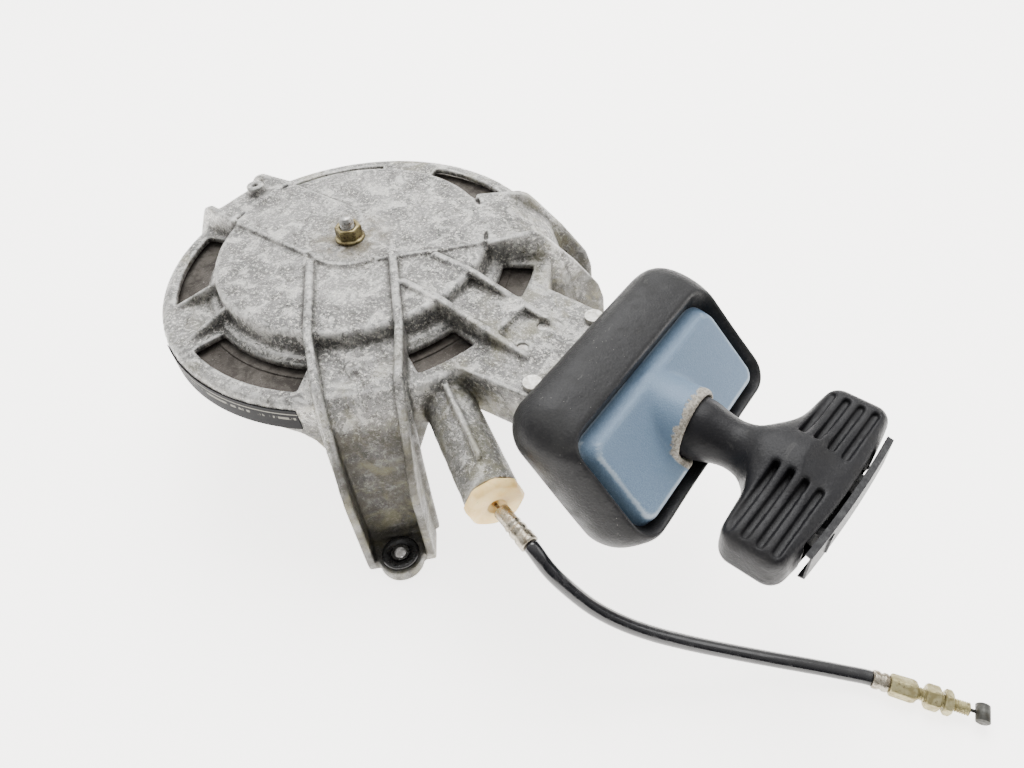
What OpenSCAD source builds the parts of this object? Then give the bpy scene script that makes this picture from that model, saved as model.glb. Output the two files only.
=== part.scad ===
// Recoil starter for a small outboard engine: a cast case on three legs with a
// spring-returned rope drum under it, a rope guide with a painted seat and a
// rubber cowl seal, a T-handle, and a start-lock plunger on a short cable.
//
// Origin on the drum's axis in the plane of the feet, +Z up, +X the way the
// rope is pulled.

/* [Case] */
// Radius of the case rim
rim_r = 110; // [104:1:135]
// Height of the rim's top face above the feet
rim_z = 102; // [85:1:125]
// Wall thickness of the casting
wall = 4; // [3.2:0.1:5]
// Depth of the skirt that hangs from the rim
skirt_h = 18; // [16:0.5:22]
// Radius of the raised centre plateau
plateau_r = 76; // [63:1:78]
// Height of the plateau above the rim
plateau_rise = 14; // [12:0.5:17]
// Radius of the raised pad round the centre nut
hub_r = 24; // [20:1:29]
// Radial width of the cooling windows
window_w = 17; // [12:1:17]
// Radius of the button marks that the mould's ejector pins leave
button_r = 4; // [3:0.5:5]

/* [Arms and legs] */
// Distance from an arm's middle to the outside of its ribs
arm_half = 24.5; // [20:0.5:28]
// Thickness of the ribs and leg webs
rib_t = 4.5; // [3.6:0.1:5.4]
// Height of the ribs above the plateau
rib_rise = 3; // [2:0.5:4]
// How far the legs stand out past the rim
leg_reach = 30; // [26:1:36]
// Distance from a leg's middle to the outside of its webs at the foot
foot_half = 18; // [15:0.5:21]
// Thickness of a foot
foot_t = 8; // [6.5:0.5:10]
// Radius of the hole in a foot for its rubber grommet
foot_hole_r = 8.5; // [7:0.5:10]
// Bore radius of the metal collar inside each grommet
collar_bore_r = 3.2; // [2.6:0.1:3.8]

/* [Drum and rope] */
// Gap between the drum's rim and the inside of the skirt
drum_gap = 8; // [7:0.5:10]
// Height of the drum's rope groove
groove_h = 8; // [7.5:0.5:9]
// Thickness of the drum's flanges
flange_t = 2; // [1.6:0.1:2.4]
// Radius of the starter rope
rope_r = 3; // [2.5:0.1:3.5]
// Radius of the rope's outer turn on the drum, at its centre line
rope_turn_r = 88; // [84:1:90]
// Radius of the drum's shaft post
post_r = 9; // [7.5:0.5:11]
// Nominal radius of the centre bolt
stud_r = 4; // [3.3:0.1:4.8]
// Width of the centre nut across its flats
nut_flats = 13; // [11:0.5:15.6]

/* [Rope guide] */
// Half width of the cast rope channel, to the outside of its ribs
channel_half = 15; // [13:0.5:18]
// Distance from the rim to the outlet bracket's front face
bracket_reach = 37; // [33:1:44]
// Half width of the outlet bracket
bracket_half = 34; // [30:1:40]
// Radius of the two rope rollers
roller_r = 6; // [5:0.5:7.2]
// Distance from the bracket to the middle of the seat's face
seat_reach = 55; // [50:1:66]
// Tilt of the seat's face back from upright
seat_tilt = 43.4; // [38:0.1:48]
// Width of the seat's painted face
seat_w = 104; // [88:1:124]
// Height of the seat's painted face
seat_h = 42; // [38:1:50]
// Width of the rounded border round the seat's face
seat_bevel = 5; // [4:0.5:6]
// Outside radius of the nose at its mouth
nose_r = 18; // [17.5:0.5:21]
// How far the nose stands out past the middle of the seat's face
nose_reach = 10; // [9:0.5:12]
// Thickness of the rubber seal's side walls
seal_t = 9; // [7.5:0.5:10.5]
// Thickness of the rubber seal under the seat
seal_lip = 4.5; // [4:0.5:6]
// Thickness of the rubber seal above the seat
seal_brow = 27; // [22:0.5:32]
// Depth of the rubber seal behind the seat's face
seal_depth = 30; // [25:1:36]

/* [Handle] */
// Radius of the handle's neck where it sits in the nose
neck_r = 15.2; // [13:0.1:15.5]
// Length of the T grip
grip_len = 103; // [86:1:123]
// Depth of the T grip along the rope
grip_deep = 36; // [32:1:43]
// Thickness of the T grip
grip_thick = 23; // [21:0.5:27]
// Distance from the nose's mouth to the T grip
neck_len = 34; // [29:1:40]
// How far the end cover has sprung out of the grip
cover_lift = 6; // [4:0.5:7]

/* [Start lock] */
// Outside radius of the plunger tube
tube_r = 13; // [12:0.5:15.6]
// Radius of the plunger
plunger_r = 8; // [6.7:0.1:9.6]
// Radius of the cable's sheath
sheath_r = 3.5; // [2.9:0.1:4.2]
// Travel of the plunger and the cable's inner wire
lock_travel = 8; // [6:0.5:9]

/* [Hidden] */

$fn = 48;
gap = 0.3;              // gap between curved neighbours that move apart
fit = 0.05;             // radial clearance of a running fit

ARMS = [180, -45, 45];

rim_in = rim_r - wall;
skirt_z = rim_z - skirt_h;
plateau_z = rim_z + plateau_rise;
panel_z = rim_z + 5;             // arm panels over the rim
raised_z = plateau_z + 2;        // hub pad and the two raised strips
rib_z = plateau_z + rib_rise;
window_in = plateau_r + 8;
window_out = min(window_in + window_w, rim_r - 9);
leg_out = rim_r + leg_reach;
leg_in = leg_out - 19;
hole_u = leg_out - 4;            // middle of a foot's hole, from the drum's axis
boss_r = 5.3;                    // drilled boss on the rear arm
boss_x = -rim_r + 26;
boss_y = 5;

drum_r = rim_in - drum_gap;
rope_z = rim_z - 12;             // height of the rope's centre line
groove_in = rope_turn_r - 4 * rope_r - rope_r - 0.6;
flange_z = rope_z + groove_h / 2 + flange_t;
drum_floor = rope_z - groove_h / 2 - flange_t;
bush_r = post_r + 1.6;
hub_out = bush_r + 7;
post_z = drum_floor - 6;         // lower end of the shaft post
plate_z = post_z - 3;            // underside of the drive plate

roller_x = rim_r + 12;
roller_y = roller_r + rope_r + 0.1;
bend_x = roller_x - 4.4;          // where the rope turns towards the drum
bracket_x = rim_r + bracket_reach;
screw_x = bracket_x - 6.5;
screw_y = bracket_half - 7;
tongue_w = 9;
tongue_t = 3.2;
lead_x = bracket_x + 3;          // where the fixed stretch of rope is counted to end
face_x = bracket_x + seat_reach;
face_z = rope_z + 5;
seat_drop = 1.5;                 // how far the face's middle lies down the slope
nose_x = face_x + nose_reach;
nose_back = face_x - (nose_r + rope_z - face_z) * tan(seat_tilt) - seat_bevel;
knot_x = nose_x + neck_len + 18;
grip_x = nose_x + neck_len;      // inner side of the T grip
grip_end = grip_x + grip_deep;

tube_dir = -32.3;                // way the plunger tube points, seen from above
tube_in = [95, -41] * rim_r / 110;
tube_z = rope_z - 8;
tube_len = 68;
cap_len = 5;
plunger_len = 40 - lock_travel;
wire_r = 0.8;

pawl_r = 46;                     // radius at which the pawl's pin stands
pawl_t = 4;
pawl_z = drum_floor - 1.5;       // top of the pawl

// Points of the cable's centre line, from the near ferrule to the far one.
CABLE = [
    [179.6, -87.1, 79.5], [189.6, -88.9, 72], [198.2, -88, 63.6], [209.5, -85.2, 53], [221.4, -80.4, 44],
    [233.5, -73.8, 35.8], [248.1, -64.5, 27], [263.5, -54.5, 19.3], [279.4, -44.8, 13.2],
    [295.4, -35.8, 9], [310, -28.5, 6.4], [320.5, -24, 5.3]
];
far_dir = 14;
far_end = CABLE[len(CABLE) - 1];

// ---------- helpers ----------

module at_arm(a) { rotate([0, 0, a]) children(); }

// Stands a profile drawn as [distance out, height] across an arm.
module across(t, at = 0) {
    translate([0, at + t / 2, 0]) rotate([90, 0, 0]) linear_extrude(t) children();
}

module ring(r_out, r_in, z0, z1) {
    translate([0, 0, z0]) difference() {
        cylinder(r = r_out, h = z1 - z0, $fn = 96);
        translate([0, 0, -1]) cylinder(r = r_in, h = z1 - z0 + 2, $fn = 96);
    }
}

function arc_points(r, a0, a1, n) = [for (i = [0:n]) let (a = a0 + (a1 - a0) * i / n) [r * cos(a), r * sin(a)]];

module sector(r_in, r_out, a0, a1, z0, z1) {
    n = 8;
    translate([0, 0, z0]) linear_extrude(z1 - z0)
        polygon(concat(arc_points(r_out, a0, a1, n), arc_points(r_in, a1, a0, n)));
}

// Rectangle with exact round corners, centred.
module round_rect(w, h, r) {
    square([w - 2 * r, h], center = true);
    square([w, h - 2 * r], center = true);
    for (x = [-1, 1], y = [-1, 1]) translate([x * (w / 2 - r), y * (h / 2 - r)]) circle(r = r);
}

// Puts children in the plunger tube's own frame: +Z out along its axis.
module on_tube() {
    translate([tube_in[0], tube_in[1], tube_z]) rotate([0, 0, tube_dir]) rotate([0, 90, 0]) children();
}

// Puts children on the seat's face: X down the face, Y across, +Z out of it.
module on_seat() {
    translate([face_x, 0, face_z]) rotate([0, 90 - seat_tilt, 0]) children();
}

// Undoes on_seat and the move to the back of the seal, for cuts given in the row frame.
module in_row_frame() {
    translate([-seat_drop, 0, seal_depth]) rotate([0, seat_tilt - 90, 0])
        translate([-face_x, 0, -face_z]) children();
}

// Puts children at the cable's far end, +Z along the fittings.
module on_far() {
    translate(far_end) rotate([0, 0, far_dir]) rotate([0, 90, 0]) children();
}

module along_x(x0, x1) { translate([x0, 0, rope_z]) rotate([0, 90, 0]) linear_extrude(x1 - x0) children(); }

// ---------- case ----------

module case_shell() {
    rotate_extrude($fn = 96) polygon([
        [0, plateau_z], [plateau_r - 2, plateau_z], [plateau_r, plateau_z - 2],
        [plateau_r + 0.6, rim_z + 2.5], [plateau_r + 5, rim_z + 2.5], [plateau_r + 7, rim_z],
        [rim_r - 4, rim_z], [rim_r - 1.2, rim_z - 1.2], [rim_r, rim_z - 4],
        [rim_r, skirt_z], [rim_in, skirt_z], [rim_in, rim_z - wall],
        [plateau_r - wall, rim_z - wall], [plateau_r - wall, plateau_z - wall], [0, plateau_z - wall]
    ]);
}

// One arm: raised panel over the rim and two webs that run down as leg sides.
module arm(raised) {
    spread = atan((arm_half - foot_half) / (leg_out - plateau_r));
    panel_half = arm_half - rib_t / 2;
    panel_top = raised
        ? [[plateau_r - 1.5, raised_z - 0.1], [rim_r - 20, raised_z - 1], [rim_r - 13, rim_z + 12],
           [rim_r - 7, rim_z + 7]]
        : [[plateau_r + 1, panel_z], [rim_r - 3, panel_z - 2]];
    rib_top = raised
        ? [[plateau_r - 3, raised_z - 0.2], [rim_r - 12, raised_z - 0.4], [rim_r - 7, rim_z + 13.4],
           [rim_r - 3, rim_z + 9]]
        : [[plateau_r - 3, rib_z], [plateau_r, raised_z - 0.5], [rim_r - 2, panel_z + 5]];
    across(2 * panel_half) polygon(concat(panel_top, [
        [rim_r + 3, rim_z - 3], [rim_r + 8, skirt_z],
        [leg_in + 1, rim_z * 0.6], [leg_in + 3, rim_z * 0.35], [leg_in + 3, foot_t - 1],
        [leg_in - 1.5, foot_t - 1], [leg_in - 1.5, rim_z * 0.35], [leg_in - 4, rim_z * 0.6],
        [rim_r + 2, skirt_z - 1], [rim_in + 1, skirt_z + 1], [rim_in + 1, rim_z - 2.6],
        [plateau_r - 1.6, rim_z - 2.6], [plateau_r - 1.6, panel_z]
    ]));
    for (s = [-1, 1]) translate([plateau_r, s * (arm_half - rib_t / 2), 0]) rotate([0, 0, -s * spread])
        translate([-plateau_r, 0, 0]) across(rib_t) polygon(concat(rib_top, [
            [rim_r + 12.8, rim_z - 11], [leg_out - 3.3, rim_z - 32], [leg_out - 0.4, rim_z - 42],
            [leg_out, rim_z - 50],
            [leg_out, 7], [leg_out - 2, 0], [leg_in, 0],
            [leg_in, rim_z - 54], [rim_r - 0.4, rim_z - 40], [rim_r - 0.4, skirt_z - 1],
            [rim_in + 0.7, skirt_z + 0.8], [rim_in + 0.7, rim_z - 3], [plateau_r - 1.8, rim_z - 3],
            [plateau_r - 1.8, plateau_z - 3], [plateau_r - 3, plateau_z - 3]
        ]));
    // foot
    difference() {
        union() {
            translate([leg_in - 1, -foot_half, 0]) cube([leg_out - leg_in - 1, 2 * foot_half, foot_t]);
            translate([hole_u, 0, 0]) cylinder(r = foot_hole_r + 3.5, h = foot_t);
            translate([leg_in, -foot_half + 1, foot_t - 1]) cube([5, 2 * foot_half - 2, 4]);
        }
        translate([hole_u, 0, -1]) cylinder(r = foot_hole_r, h = foot_t + 2);
    }
}

// The skirt runs down to meet each leg in a curved gusset.
module leg_gusset() {
    half = [[arm_half + 20, -15.2], [arm_half + 20, -18.3], [arm_half + 10, -21.5], [arm_half + 4, -27],
            [arm_half + 1, -34], [arm_half - 4, -46]];
    intersection() {
        ring(rim_r - 0.15, rim_in + 0.15, rim_z - 47, skirt_z + 4);
        rotate([90, 0, 90]) translate([0, 0, rim_in - 20]) linear_extrude(40) polygon(concat(
            [for (p = half) [p[0], rim_z + p[1]]],
            [for (i = [len(half) - 1:-1:0]) [-half[i][0], rim_z + half[i][1]]]
        ));
    }
}

// One cooling window's cut.
module window_cut(a0, a1) { sector(window_in, window_out, a0, a1, skirt_z - 2, rim_z + 6); }

module channel() {
    for (s = [-1, 1]) across(4, s * (channel_half - 2)) polygon([
        [45, plateau_z - 2], [50, plateau_z + 2.5], [plateau_r, plateau_z + 1], [rim_r - 8, rim_z + 8],
        [bracket_x - 18, rim_z + 2], [bracket_x - 14, rim_z - 1.6], [plateau_r - 1.6, rim_z - 1.6],
        [plateau_r - 1.6, plateau_z - 2]
    ]);
    across(2 * channel_half - 4) polygon([
        [plateau_r - 1.7, rim_z + 8], [rim_r - 2, rim_z + 6.5], [rim_r + 1, rim_z + 1.5],
        [bracket_x - 14.5, rim_z + 1],
        [bracket_x - 14.5, rim_z - 1.7], [plateau_r - 1.7, rim_z - 1.7]
    ]);
}

// Flared snout between the rim and the outlet bracket.
module snout_outline(inset) {
    half = bracket_half - inset;
    polygon([
        [rim_in - 22, -channel_half - 24 + inset], [rim_in, -channel_half - 21 + inset],
        [bracket_x - inset, -half], [bracket_x - inset, half],
        [rim_in, channel_half + 21 - inset], [rim_in - 22, channel_half + 24 - inset]
    ]);
}

module snout() {
    difference() {
        translate([0, 0, rim_z - 26]) linear_extrude(25.9) snout_outline(0);
        translate([0, 0, rim_z - 27]) linear_extrude(27 - wall) snout_outline(wall);
        translate([0, 0, rim_z - 40]) cylinder(r = rim_in, h = 39.8 - wall, $fn = 96);
    }
}

module tube() {
    on_tube() cylinder(r = tube_r, h = tube_len);
    on_tube() translate([-tube_r - 2.5, -1.5, 4]) cube([6, 3, tube_len - 16]);
}

module starter_case() {
    color("silver") difference() {
        union() {
            case_shell();
            translate([0, 0, plateau_z - 1]) cylinder(r = hub_r, h = raised_z - plateau_z + 1);
            for (a = [180, 45]) at_arm(a) difference() {
                translate([hub_r / 2, -arm_half + 1, plateau_z - 1.2])
                    cube([plateau_r, 2 * arm_half - 2, raised_z - plateau_z + 1.2]);
                ring(plateau_r + 40, plateau_r - 1.5, plateau_z - 2, raised_z + 1);
            }
            at_arm(-45) for (s = [-1, 1])
                translate([14, s * (arm_half - rib_t / 2) - rib_t / 2, plateau_z - 1])
                    cube([plateau_r - 16, rib_t, rib_rise + 1]);
            for (a = ARMS) at_arm(a) {
                arm(a != -45);
                leg_gusset();
            }
            channel();
            snout();
            tube();
            translate([0, 0, post_z]) cylinder(r = post_r, h = plateau_z - wall - post_z - 5);
            translate([0, 0, plateau_z - wall - 10]) cylinder(r = post_r + 6, h = 11.3);
            // two small ribs beside the button on the plain sector
            for (a = [-125.6, -107.6]) rotate([0, 0, a]) across(2.6) polygon([
                [plateau_r - 2.5, plateau_z - 4], [plateau_r - 0.5, plateau_z - 4], [rim_r - 8, rim_z + 0.6],
                [rim_r - 8, rim_z - 1], [plateau_r - 2.5, rim_z - 1]
            ]);
            // ejector marks and the drilled boss on the rear arm
            for (p = [[-46.5, 91, panel_z - 0.2], [43, 91, panel_z - 0.2], [-117.4, 90, rim_z - 0.5]])
                rotate([0, 0, p[0]]) translate([p[1], 0, p[2] - 1]) cylinder(r = button_r, h = 2);
            translate([boss_x, boss_y, raised_z - 2]) cylinder(r = boss_r, h = 7);
        }
        for (w = [[-163, -127], [-103, -63], [-29, -10.5], [13, 28.5], [64, 103], [124, 163]])
            window_cut(w[0], w[1]);
        // bolt, drilled boss, plunger bore and roller pins
        translate([0, 0, post_z - 1]) cylinder(r = stud_r + fit, h = raised_z - post_z + 3);
        translate([boss_x, boss_y, raised_z - 1]) cylinder(r = 1.8, h = 8);
        on_tube() translate([0, 0, -6]) cylinder(r = plunger_r + fit, h = tube_len + 8);
        for (s = [-1, 1]) translate([roller_x, s * roller_y, rim_z - wall - 1]) cylinder(r = 3, h = wall + 12);
        // the drum's room, and the way out for the rope
        ring(rim_in - 0.5, plateau_r - wall - 4, drum_floor - 14, rim_z - wall - 0.2);
        translate([rim_in - 8, -6, rope_z - 6]) cube([14, 6 + roller_y + 22, 12]);
        translate([bracket_x - wall - 1, 0, rope_z]) rotate([0, 90, 0]) cylinder(r = rope_r + 3, h = wall + 3);
        for (s = [-1, 1]) {
            translate([screw_x, s * screw_y, rim_z - wall - 1]) cylinder(r = 2.5, h = wall + 3);
            translate([screw_x - 6, s * screw_y - tongue_w / 2 - gap, rim_z - wall - tongue_t - 2 * gap])
                cube([bracket_x + 7 - screw_x, tongue_w + 2 * gap, tongue_t + 2 * gap]);
        }
    }
}

module maker_plate() {
    color("dimgray") translate([0, 0, skirt_z + 0.8]) rotate([0, 0, -113])
        rotate_extrude(angle = 51, $fn = 160) translate([rim_r + 0.02, 0]) square([0.4, skirt_h - 5]);
}

module foot_grommets() {
    color([0.05, 0.05, 0.05]) for (a = ARMS) at_arm(a) translate([hole_u, 0, 0]) difference() {
        union() {
            translate([0, 0, 0.4]) cylinder(r = foot_hole_r - 0.02, h = foot_t);
            translate([0, 0, foot_t + 0.02]) cylinder(r = foot_hole_r + 1.5, h = 1.6);
        }
        translate([0, 0, -1]) cylinder(r = collar_bore_r + 1.6, h = foot_t + 4);
    }
}

module foot_collars() {
    color("gray") for (a = ARMS) at_arm(a) translate([hole_u, 0, 0.2]) difference() {
        cylinder(r = collar_bore_r + 1.58, h = foot_t + 1.6);
        translate([0, 0, -1]) cylinder(r = collar_bore_r, h = foot_t + 4);
    }
}

module center_bolt() {
    color("silver") {
        translate([0, 0, plate_z - 5.3]) cylinder(r = nut_flats / 2 / cos(30), h = 5.3, $fn = 6);
        translate([0, 0, plate_z - 1]) cylinder(r = stud_r, h = raised_z + 12.5 - plate_z);
        translate([0, 0, raised_z + 11.5]) cylinder(r = stud_r - 0.6, h = 1.8);
    }
}

module center_nut() {
    color("darkkhaki") translate([0, 0, raised_z]) difference() {
        union() {
            cylinder(r = nut_flats / 2 + 1.8, h = 1.6);
            cylinder(r = nut_flats / 2 / cos(30), h = 8, $fn = 6);
        }
        translate([0, 0, -1]) cylinder(r = stud_r + 0.02, h = 11);
    }
}

// Clock-type strip spring that winds the rope back.
module spiral_spring() {
    turns = 7;
    r0 = post_r + 9;
    pitch = (plateau_r - wall - r0 - 5) / turns;
    strip = 1.1;
    function at_turn(t, r) = [(r0 + pitch * t / 360 + r) * cos(t), (r0 + pitch * t / 360 + r) * sin(t)];
    color("slategray") translate([0, 0, rim_z - wall + 2]) linear_extrude(plateau_rise - 4) polygon(concat(
        [for (t = [0:12:360 * turns]) at_turn(t, 0)],
        [for (t = [360 * turns:-12:0]) at_turn(t, strip)]
    ));
}

module drive_plate() {
    color("gray") translate([0, 0, plate_z]) difference() {
        union() {
            cylinder(r = 26, h = 3);
            for (a = [60, 180]) rotate([0, 0, a]) translate([20, -7, 0]) cube([16, 14, 3]);
        }
        translate([0, 0, -1]) cylinder(r = stud_r + 0.02, h = 5);
    }
}

module plate_spring() {
    color("silver") rotate_extrude() translate([post_r + 5, post_z + 1.25]) circle(r = 1.2, $fn = 16);
}

module roller_pins() {
    color("silver") for (s = [-1, 1]) translate([roller_x, s * roller_y, 0]) {
        translate([0, 0, rope_z - 10]) cylinder(r = 4.6, h = 2);
        translate([0, 0, rope_z - 9]) cylinder(r = 3 - 0.02, h = rim_z - rope_z + 9);
    }
}

// ---------- rope guide ----------

module rope_seat() {
    color("steelblue") difference() {
        union() {
            on_seat() translate([seat_drop, 0, 0]) hull() {
                translate([0, 0, -1]) linear_extrude(1) round_rect(seat_h, seat_w, 7, $fn = 32);
                translate([0, 0, -seat_bevel]) linear_extrude(1)
                    round_rect(seat_h + 2 * seat_bevel, seat_w + 2 * seat_bevel, 7 + seat_bevel, $fn = 32);
            }
            along_x(nose_back, nose_x) circle(r = nose_r);
            for (s = [-1, 1])
                translate([screw_x - 5.5, s * screw_y - tongue_w / 2, rim_z - wall - gap - tongue_t])
                    cube([face_x - 7 - screw_x, tongue_w, tongue_t]);
        }
        along_x(nose_x - 14, nose_x + 20) circle(r = neck_r + gap);
        along_x(face_x - 60, nose_x) circle(r = rope_r + 2);
        for (s = [-1, 1]) translate([screw_x, s * screw_y, 0]) cylinder(r = 2.5, h = rim_z);
    }
}

module cowl_seal() {
    inner_w = seat_w + 2 * seat_bevel + 0.2;
    inner_h = seat_h + 2 * seat_bevel + 0.2;
    outer_h = inner_h + seal_lip + seal_brow;
    color([0.16, 0.16, 0.17]) on_seat() translate([seat_drop, 0, -seal_depth]) difference() {
        translate([(seal_lip - seal_brow) / 2, 0, 0]) linear_extrude(seal_depth - 3)
            round_rect(outer_h, inner_w + 2 * seal_t, 17, $fn = 48);
        translate([0, 0, -1]) linear_extrude(seal_depth) round_rect(inner_h, inner_w, 7 + seat_bevel, $fn = 32);
        // ways through the brow for the rope and the seat's two tongues
        in_row_frame() {
            along_x(bracket_x, face_x) circle(r = rope_r + 2);
            for (s = [-1, 1]) translate([screw_x, s * screw_y - tongue_w / 2 - 1, rim_z - wall - tongue_t - 2])
                cube([face_x - screw_x, tongue_w + 2, tongue_t + 4]);
        }
    }
}

module seat_screws() {
    color("silver") for (s = [-1, 1]) translate([screw_x, s * screw_y, 0]) {
        translate([0, 0, rim_z - wall - 6]) cylinder(r = 2.48, h = wall + 6.5);
        translate([0, 0, rim_z]) cylinder(r = 4.6, h = 2.6);
    }
}

module rope_path_start() {
    reach = sqrt(bend_x * bend_x - rope_turn_r * rope_turn_r);
    translate([bend_x, 0, rope_z]) rotate([0, 0, 180 - asin(rope_turn_r / bend_x)])
        rotate([0, 90, 0]) cylinder(r = rope_r, h = reach - 36);
}

module rope_lead() {
    color("ivory") {
        rope_path_start();
        translate([bend_x, 0, rope_z]) sphere(r = rope_r, $fn = 32);
        along_x(bend_x, lead_x) circle(r = rope_r);
    }
}

// ---------- start lock ----------

module cable_cap() {
    color("wheat") on_tube() difference() {
        union() {
            translate([0, 0, tube_len + 0.02]) cylinder(r = (tube_r - 0.3) / cos(22.5), h = cap_len, $fn = 8);
            translate([0, 0, tube_len - 8]) cylinder(r = plunger_r, h = 9);
        }
        translate([0, 0, tube_len - 9]) cylinder(r = 2, h = cap_len + 12);
        translate([0, 0, tube_len + cap_len - 3]) cylinder(r = 3.6, h = 4);
    }
}

module plunger_spring() {
    turns = 6;
    color("silver") on_tube() for (i = [0:turns - 1])
        translate([0, 0, 44 + i * 2.6]) rotate_extrude($fn = 32) translate([5.4, 0]) circle(r = 0.7, $fn = 12);
}

module lock_plunger() {
    color("dimgray") on_tube() difference() {
        cylinder(r = plunger_r - gap, h = plunger_len);
        translate([0, 0, plunger_len - 6]) cylinder(r = 1.2, h = 7);
    }
}

module inner_wire() {
    color("gray") on_tube() translate([0, 0, plunger_len - 5])
        cylinder(r = wire_r, h = tube_len + 1.5 - plunger_len);
}

// A round tube carried along a list of points.
function unit(v) = v / norm(v);
function tangent(p, i) = unit(p[min(i + 1, len(p) - 1)] - p[max(i - 1, 0)]);
function ring_at(p, i, r, n, ends) =
    let (t = i == 0 ? ends[0] : i == len(p) - 1 ? ends[1] : tangent(p, i))
    let (side = unit(cross(t, [0, 0, 1])), up = cross(side, t))
    [for (k = [0:n - 1]) p[i] + r * (cos(360 * k / n) * side + sin(360 * k / n) * up)];

module swept_tube(p, r, ends, n = 12) {
    m = len(p);
    rings = [for (i = [0:m - 1]) each ring_at(p, i, r, n, ends)];
    sides = [for (i = [0:m - 2], k = [0:n - 1])
        [i * n + k, i * n + (k + 1) % n, (i + 1) * n + (k + 1) % n, (i + 1) * n + k]];
    first = [for (k = [n - 1:-1:0]) k];
    last = [for (k = [0:n - 1]) (m - 1) * n + k];
    polyhedron(rings, concat([first], sides, [last]), convexity = 6);
}

// Its ends are square to the two ferrules.
module cable_sheath() {
    color([0.05, 0.05, 0.06])
        swept_tube(CABLE, sheath_r, [unit(CABLE[0] - tube_tip()), [cos(far_dir), sin(far_dir), 0]]);
}

module near_ferrule() {
    start = tube_tip();
    color("silver") translate(CABLE[0]) orient(start - CABLE[0])
        translate([0, 0, 0.02]) {
            cylinder(r = sheath_r + 0.7, h = norm(start - CABLE[0]) - 3);
            cylinder(r = wire_r, h = norm(start - CABLE[0]) - 0.3);
        }
}

// Where the inner wire leaves the cap, in the row frame.
function tube_tip() = [
    tube_in[0] + (tube_len + cap_len) * cos(tube_dir),
    tube_in[1] + (tube_len + cap_len) * sin(tube_dir), tube_z
];

module orient(v) {
    rotate([0, acos(v[2] / norm(v)), atan2(v[1], v[0])]) children();
}

module far_ferrule() {
    color("silver") on_far() translate([0, 0, 0.02]) cylinder(r = sheath_r + 0.6, h = 7.48);
}

module adjuster_body() {
    color("darkkhaki") on_far() difference() {
        union() {
            translate([0, 0, 7.52]) rotate([0, 0, 30]) cylinder(r = 5.3, h = 11, $fn = 6);
            translate([0, 0, 18]) cylinder(r = 3, h = 22);
        }
        translate([0, 0, 8]) cylinder(r = 1, h = 40);
    }
}

module adjuster_nuts() {
    color("darkkhaki") on_far() for (z = [22, 29.5]) translate([0, 0, z]) rotate([0, 0, 30]) difference() {
        cylinder(r = 10 / 2 / cos(30), h = z < 25 ? 6 : 3.5, $fn = 6);
        translate([0, 0, -1]) cylinder(r = 3.02, h = 9);
    }
}

module wire_nipple() {
    color("dimgray") on_far() {
        translate([0, 0, 30]) cylinder(r = wire_r, h = 14);
        translate([0, -4, 45.5]) rotate([-90, 0, 0]) cylinder(r = 3, h = 8);
    }
}

// ---------- drum ----------

module rope_drum() {
    color("dimgray") {
        rotate_extrude($fn = 96) polygon([
            [bush_r, post_z + 3.5], [hub_out, post_z + 3.5], [hub_out, drum_floor], [drum_r, drum_floor],
            [drum_r, drum_floor + flange_t], [groove_in, drum_floor + flange_t],
            [groove_in, flange_z - flange_t], [drum_r, flange_z - flange_t], [drum_r, flange_z],
            [window_in + 4, flange_z], [window_in + 4, flange_z + 0.8],
            [window_in - 4, flange_z + 0.8], [window_in - 4, flange_z], [groove_in - 3, flange_z],
            [groove_in - 3, drum_floor + 3], [hub_out, drum_floor + 3], [hub_out, flange_z], [bush_r, flange_z]
        ]);
    }
}

module drum_bush() {
    color("goldenrod") ring(bush_r - 0.02, post_r + fit, post_z + 3.5, flange_z);
}

module rope_turns() {
    color("ivory") for (i = [0:2]) rotate_extrude($fn = 96)
        translate([rope_turn_r - i * 2.02 * rope_r, rope_z]) circle(r = rope_r, $fn = 24);
}

module pawl_pin() {
    color("silver") translate([pawl_r, 0, 0]) {
        translate([0, 0, pawl_z - pawl_t - 1.4]) cylinder(r = 5, h = 1.3);
        translate([0, 0, pawl_z - pawl_t - 1]) cylinder(r = 3, h = pawl_t + 1 + drum_floor - pawl_z);
    }
}

module pawl_spring() {
    color("silver") translate([pawl_r, 0, drum_floor - 0.75])
        rotate_extrude($fn = 32) translate([4.2, 0]) circle(r = 0.55, $fn = 12);
}

module drive_pawl() {
    color("gray") translate([pawl_r, 0, pawl_z - pawl_t]) difference() {
        union() {
            cylinder(r = 6.5, h = pawl_t);
            linear_extrude(pawl_t) polygon([[-6.5, 0], [6.5, 0], [5, 18], [1, 27], [-4, 27], [-5, 14]]);
        }
        translate([0, 0, -1]) cylinder(r = 3 + fit, h = pawl_t + 2);
    }
}

module roller(s) {
    color("white") translate([roller_x, s * roller_y, rope_z - 7.8])
        ring(roller_r, 3 + fit, 0, rim_z - wall - rope_z + 7.4);
}
module far_roller() { roller(1); }
module near_roller() { roller(-1); }

// ---------- handle ----------

module rope_run() {
    color("ivory") along_x(lead_x + 0.02, knot_x - 2.42) circle(r = rope_r);
}

module grip_solid() {
    translate([(grip_x + grip_end) / 2, 0, rope_z - grip_thick / 2 + 3]) linear_extrude(grip_thick - 6)
        round_rect(grip_deep, grip_len, 8, $fn = 32);
    translate([(grip_x + grip_end) / 2, 0, rope_z - grip_thick / 2]) linear_extrude(grip_thick)
        round_rect(grip_deep - 6, grip_len - 6, 6, $fn = 32);
}

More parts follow.
